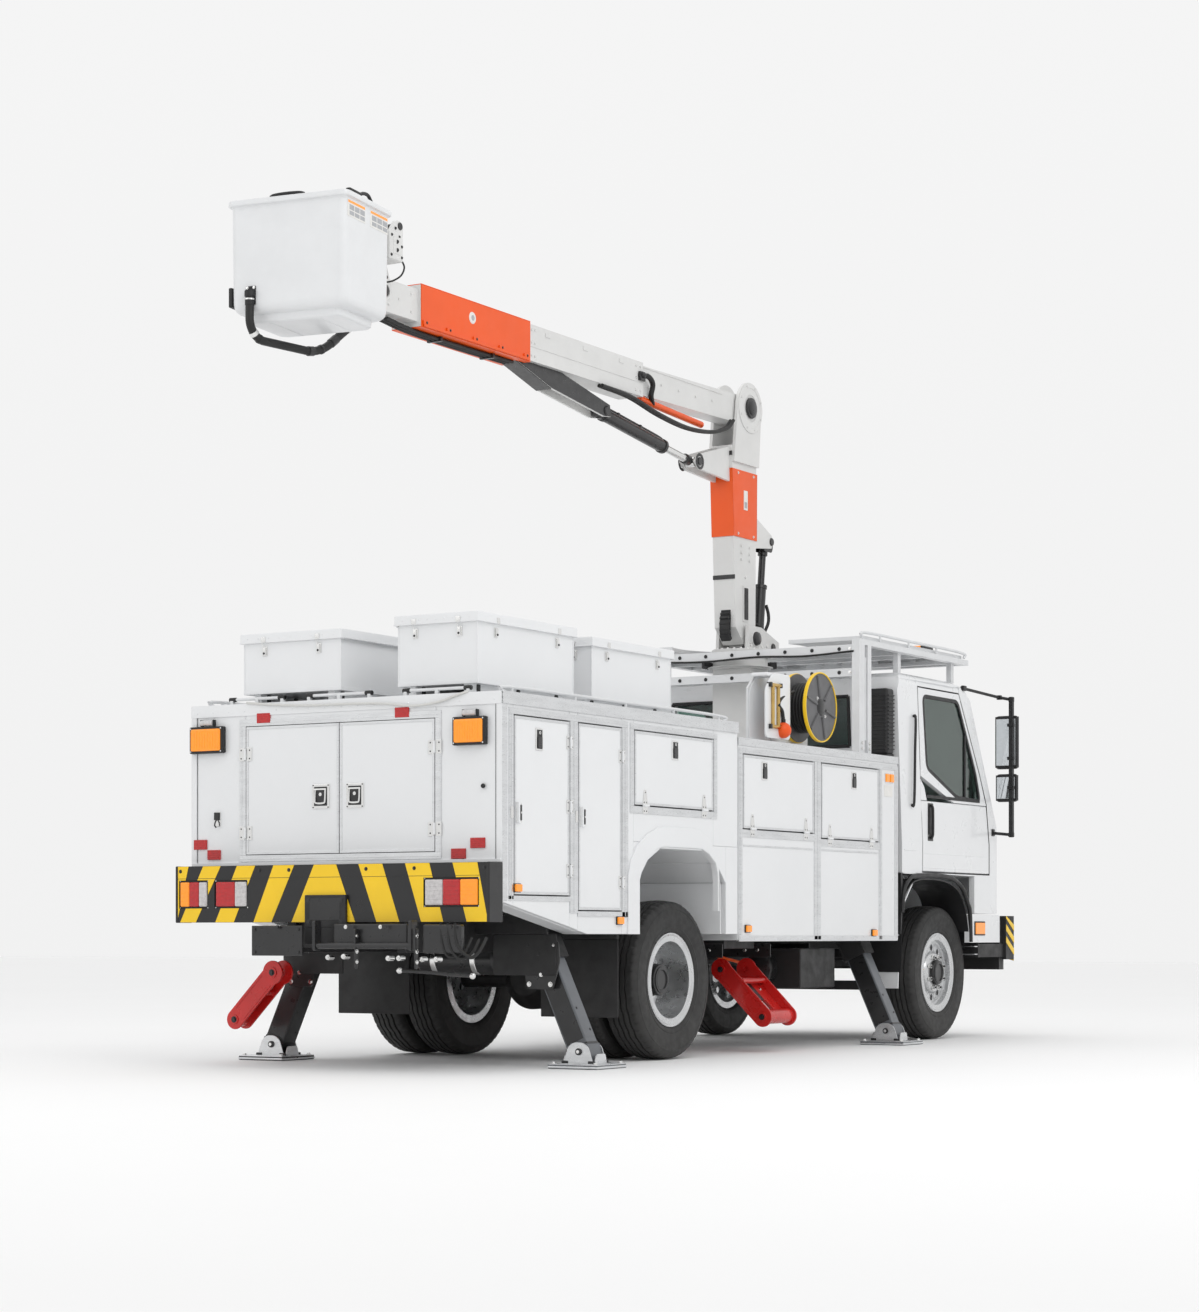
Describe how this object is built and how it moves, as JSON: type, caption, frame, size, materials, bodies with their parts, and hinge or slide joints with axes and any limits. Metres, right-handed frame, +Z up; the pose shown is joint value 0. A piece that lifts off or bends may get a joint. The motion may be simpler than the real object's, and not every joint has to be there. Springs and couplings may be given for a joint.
{
  "type": "cherry picker truck",
  "caption": "Utility truck with locker body, roof boxes, cab, outriggers and a two-part knuckle boom that carries a work bucket.",
  "frame": {"origin": "middle of the overall box on the ground the tyres and pads stand on", "axes": "+Z up, +Y to the rear of the truck, +X to its left side; the cab faces -Y"},
  "size_m": [2.665, 8.143, 5.1],
  "materials": {
    "chassis_black": "satin black chassis paint with road dust",
    "white_paint": "gloss white paint",
    "cab_glass": "green tinted safety glass",
    "cab_trim": "grained dark trim and woven seats",
    "black_plastic": "grained black plastic",
    "body_paint": "gloss white paint on aluminium panels",
    "aluminium_rack": "white painted and bare aluminium rack",
    "hazard_paint": "black and yellow slanted stripes",
    "amber_lens": "moulded lenses, amber, red and clear",
    "tyre": "dark rubber with dusty shoulders",
    "wheel_silver": "silver painted steel",
    "reel_grey": "grey reel with yellow rims and black hose",
    "grey_paint": "grey paint, worn at the corners",
    "black_steel": "gloss black paint",
    "red_paint": "gloss red paint",
    "boom_paint": "gloss white paint with orange covers",
    "bucket_shell": "glass-fibre shell with white gel coat",
    "chrome_rod": "hard chrome",
    "hose_black": "ribbed black hose"
  },
  "bodies": {
    "chassis": {"chassis_frame": "chassis_black", "powertrain": "chassis_black", "axles": "chassis_black", "cab_shell": "white_paint", "cab_glass": "cab_glass", "cab_interior": "cab_trim", "mirrors": "black_plastic", "front_bumper": "black_plastic", "fenders": "white_paint", "service_body": "body_paint", "side_boxes": "body_paint", "rack": "aluminium_rack", "pedestal": "white_paint", "roof_boxes": "body_paint", "rear_bumper": "hazard_paint", "lamps": "amber_lens"},
    "turret": {"turret": "white_paint"},
    "lower_boom": {"lower_boom": "boom_paint"},
    "upper_boom": {"upper_boom": "boom_paint"},
    "bucket_bracket": {"bucket_bracket": "boom_paint"},
    "bucket": {"bucket": "bucket_shell", "bucket_hose": "hose_black"},
    "lift_barrel": {"lift_barrel": "black_steel"},
    "lift_rod": {"lift_rod": "chrome_rod"},
    "elbow_barrel": {"elbow_barrel": "black_steel"},
    "elbow_rod": {"elbow_rod": "chrome_rod"},
    "knuckle_left": {"knuckle_left": "chassis_black"},
    "knuckle_right": {"knuckle_right": "chassis_black"},
    "wheel_front_left": {"tyre_front_left": "tyre", "rim_front_left": "wheel_silver"},
    "wheel_front_right": {"tyre_front_right": "tyre", "rim_front_right": "wheel_silver"},
    "support_arm_right": {"support_arm_right": "red_paint"},
    "support_arm_left": {"support_arm_left": "red_paint"},
    "leg_rear_right": {"leg_rear_right": "grey_paint"},
    "leg_rear_left": {"leg_rear_left": "black_steel"},
    "leg_front_right": {"leg_front_right": "grey_paint"},
    "leg_front_left": {"leg_front_left": "grey_paint"},
    "cab_door_right": {"cab_door_right": "white_paint"},
    "cab_door_left": {"cab_door_left": "white_paint"},
    "rear_door_left": {"rear_door_left": "body_paint"},
    "rear_door_right": {"rear_door_right": "body_paint"},
    "lid_right": {"lid_right": "body_paint"},
    "lid_left": {"lid_left": "body_paint"},
    "lid_front": {"lid_front": "body_paint"},
    "door_right_1": {"door_right_1": "body_paint"},
    "door_right_2": {"door_right_2": "body_paint"},
    "door_right_3": {"door_right_3": "body_paint"},
    "door_right_4": {"door_right_4": "body_paint"},
    "door_right_5": {"door_right_5": "body_paint"},
    "wheels_rear_right": {"tyres_rear_right": "tyre", "rims_rear_right": "wheel_silver"},
    "wheels_rear_left": {"tyres_rear_left": "tyre", "rims_rear_left": "wheel_silver"},
    "hose_reel": {"hose_reel": "reel_grey"},
    "door_left_1": {"door_left_1": "body_paint"},
    "door_left_2": {"door_left_2": "body_paint"},
    "door_left_3": {"door_left_3": "body_paint"},
    "door_left_4": {"door_left_4": "body_paint"},
    "door_left_5": {"door_left_5": "body_paint"}
  },
  "joints": [
    {"name": "slew", "type": "hinge", "parent": "chassis", "child": "turret", "pos_m": [0.1, -1.7315, 2.86], "axis": [0, 0, 1], "continuous": true},
    {"name": "lower_boom_lift", "type": "hinge", "parent": "turret", "child": "lower_boom", "pos_m": [0.1, -1.7155, 3.007], "axis": [1, 0, 0], "range_deg": [-4, 60]},
    {"name": "elbow", "type": "hinge", "parent": "lower_boom", "child": "upper_boom", "pos_m": [0.1, -1.6815, 4.725], "axis": [1, 0, 0], "range_deg": [-15, 35]},
    {"name": "bucket_level", "type": "hinge", "parent": "upper_boom", "child": "bucket_bracket", "pos_m": [0.1, 3.0585, 4.68], "axis": [1, 0, 0], "range_deg": [-35, 15]},
    {"name": "bucket_rotate", "type": "hinge", "parent": "bucket_bracket", "child": "bucket", "pos_m": [0.1, 3.2755, 4.9], "axis": [0, 0, 1], "range_deg": [-90, 75]},
    {"name": "lift_barrel_pivot", "type": "hinge", "parent": "turret", "child": "lift_barrel", "pos_m": [0.1, -2.0015, 2.965], "axis": [1, 0, 0], "range_deg": [-6, 75]},
    {"name": "lift_rod_slide", "type": "slide", "parent": "lift_barrel", "child": "lift_rod", "axis": [0, -0.1218, 0.9926], "range_m": [-0.28, 0.03]},
    {"name": "elbow_barrel_pivot", "type": "hinge", "parent": "upper_boom", "child": "elbow_barrel", "pos_m": [0.1, 0.3385, 4.392], "axis": [1, 0, 0], "range_deg": [-20, 20]},
    {"name": "elbow_rod_slide", "type": "slide", "parent": "elbow_barrel", "child": "elbow_rod", "axis": [0, -0.9926, -0.1212], "range_m": [-0.2, 0.48]},
    {"name": "steer_left", "type": "hinge", "parent": "chassis", "child": "knuckle_left", "pos_m": [0.645, -2.8335, 0.5], "axis": [0, 0, 1], "range_deg": [-30, 30]},
    {"name": "steer_right", "type": "hinge", "parent": "chassis", "child": "knuckle_right", "pos_m": [-0.645, -2.8335, 0.5], "axis": [0, 0, 1], "range_deg": [-30, 30]},
    {"name": "spin_front_left", "type": "hinge", "parent": "knuckle_left", "child": "wheel_front_left", "pos_m": [0.9075, -2.8335, 0.508], "axis": [1, 0, 0], "continuous": true},
    {"name": "spin_front_right", "type": "hinge", "parent": "knuckle_right", "child": "wheel_front_right", "pos_m": [-0.9075, -2.8335, 0.508], "axis": [1, 0, 0], "continuous": true},
    {"name": "support_arm_right_hinge", "type": "hinge", "parent": "chassis", "child": "support_arm_right", "pos_m": [-0.72, -0.1015, 0.56], "axis": [0, 1, 0], "range_deg": [-12, 40]},
    {"name": "support_arm_left_hinge", "type": "hinge", "parent": "chassis", "child": "support_arm_left", "pos_m": [0.93, 2.8585, 0.56], "axis": [0, -1, 0], "range_deg": [-12, 40]},
    {"name": "leg_rear_right_slide", "type": "slide", "parent": "chassis", "child": "leg_rear_right", "axis": [0.4147, 0, 0.91], "range_m": [0, 0.3]},
    {"name": "leg_rear_left_slide", "type": "slide", "parent": "chassis", "child": "leg_rear_left", "axis": [-0.4147, 0, 0.91], "range_m": [0, 0.3]},
    {"name": "leg_front_right_slide", "type": "slide", "parent": "chassis", "child": "leg_front_right", "axis": [0.4147, 0, 0.91], "range_m": [0, 0.3]},
    {"name": "leg_front_left_slide", "type": "slide", "parent": "chassis", "child": "leg_front_left", "axis": [-0.4147, 0, 0.91], "range_m": [0, 0.3]},
    {"name": "cab_door_right_hinge", "type": "hinge", "parent": "chassis", "child": "cab_door_right", "pos_m": [-1.11, -3.63, 1.5], "axis": [0, 0, 1], "range_deg": [0, 68]},
    {"name": "cab_door_left_hinge", "type": "hinge", "parent": "chassis", "child": "cab_door_left", "pos_m": [1.11, -3.63, 1.5], "axis": [0, 0, -1], "range_deg": [0, 68]},
    {"name": "rear_door_left_hinge", "type": "hinge", "parent": "chassis", "child": "rear_door_left", "pos_m": [0.7115, 3.4725, 1.6], "axis": [0, 0, -1], "range_deg": [0, 105]},
    {"name": "rear_door_right_hinge", "type": "hinge", "parent": "chassis", "child": "rear_door_right", "pos_m": [-0.6685, 3.4725, 1.6], "axis": [0, 0, 1], "range_deg": [0, 105]},
    {"name": "lid_right_hinge", "type": "hinge", "parent": "chassis", "child": "lid_right", "pos_m": [-0.317, 2.8385, 2.61], "axis": [0, 1, 0], "range_deg": [0, 85]},
    {"name": "lid_left_hinge", "type": "hinge", "parent": "chassis", "child": "lid_left", "pos_m": [0.032, 3.0185, 2.56], "axis": [0, -1, 0], "range_deg": [0, 85]},
    {"name": "lid_front_hinge", "type": "hinge", "parent": "chassis", "child": "lid_front", "pos_m": [-0.302, 1.5635, 2.58], "axis": [0, 1, 0], "range_deg": [0, 85]},
    {"name": "door_right_1_hinge", "type": "hinge", "parent": "chassis", "child": "door_right_1", "pos_m": [-1.141, 2.726, 1.5], "axis": [0, 0, 1], "range_deg": [0, 100]},
    {"name": "door_right_2_hinge", "type": "hinge", "parent": "chassis", "child": "door_right_2", "pos_m": [-1.141, 2.117, 1.5], "axis": [0, 0, 1], "range_deg": [0, 100]},
    {"name": "door_right_3_hinge", "type": "hinge", "parent": "chassis", "child": "door_right_3", "pos_m": [-1.141, 1.4545, 1.5965], "axis": [0, -1, 0], "range_deg": [0, 95]},
    {"name": "door_right_4_hinge", "type": "hinge", "parent": "chassis", "child": "door_right_4", "pos_m": [-1.141, 0.0185, 1.4965], "axis": [0, -1, 0], "range_deg": [0, 95]},
    {"name": "door_right_5_hinge", "type": "hinge", "parent": "chassis", "child": "door_right_5", "pos_m": [-1.141, -1.0815, 1.4665], "axis": [0, -1, 0], "range_deg": [0, 95]},
    {"name": "spin_rear_right", "type": "hinge", "parent": "chassis", "child": "wheels_rear_right", "pos_m": [-0.9075, 1.2985, 0.508], "axis": [1, 0, 0], "continuous": true},
    {"name": "spin_rear_left", "type": "hinge", "parent": "chassis", "child": "wheels_rear_left", "pos_m": [0.9075, 1.2985, 0.508], "axis": [1, 0, 0], "continuous": true},
    {"name": "reel_spin", "type": "hinge", "parent": "chassis", "child": "hose_reel", "pos_m": [-0.97, -0.7315, 2.385], "axis": [1, 0, 0], "continuous": true},
    {"name": "door_left_1_hinge", "type": "hinge", "parent": "chassis", "child": "door_left_1", "pos_m": [1.141, 2.726, 1.5], "axis": [0, 0, -1], "range_deg": [0, 100]},
    {"name": "door_left_2_hinge", "type": "hinge", "parent": "chassis", "child": "door_left_2", "pos_m": [1.141, 2.117, 1.5], "axis": [0, 0, -1], "range_deg": [0, 100]},
    {"name": "door_left_3_hinge", "type": "hinge", "parent": "chassis", "child": "door_left_3", "pos_m": [1.141, 1.4545, 1.5965], "axis": [0, 1, 0], "range_deg": [0, 95]},
    {"name": "door_left_4_hinge", "type": "hinge", "parent": "chassis", "child": "door_left_4", "pos_m": [1.141, 0.0185, 1.4965], "axis": [0, 1, 0], "range_deg": [0, 95]},
    {"name": "door_left_5_hinge", "type": "hinge", "parent": "chassis", "child": "door_left_5", "pos_m": [1.141, -1.0815, 1.4665], "axis": [0, 1, 0], "range_deg": [0, 95]}
  ],
  "couplings": [
    {"joint": "steer_right", "follows": "steer_left", "ratio": 1},
    {"joint": "bucket_level", "follows": "elbow", "ratio": -1},
    {"joint": "lift_barrel_pivot", "follows": "lower_boom_lift", "ratio": 1.165},
    {"joint": "lift_rod_slide", "follows": "lower_boom_lift", "m_per_rad": -0.253},
    {"joint": "elbow_barrel_pivot", "follows": "elbow", "ratio": 0.32},
    {"joint": "elbow_rod_slide", "follows": "elbow", "m_per_rad": 0.712}
  ]
}
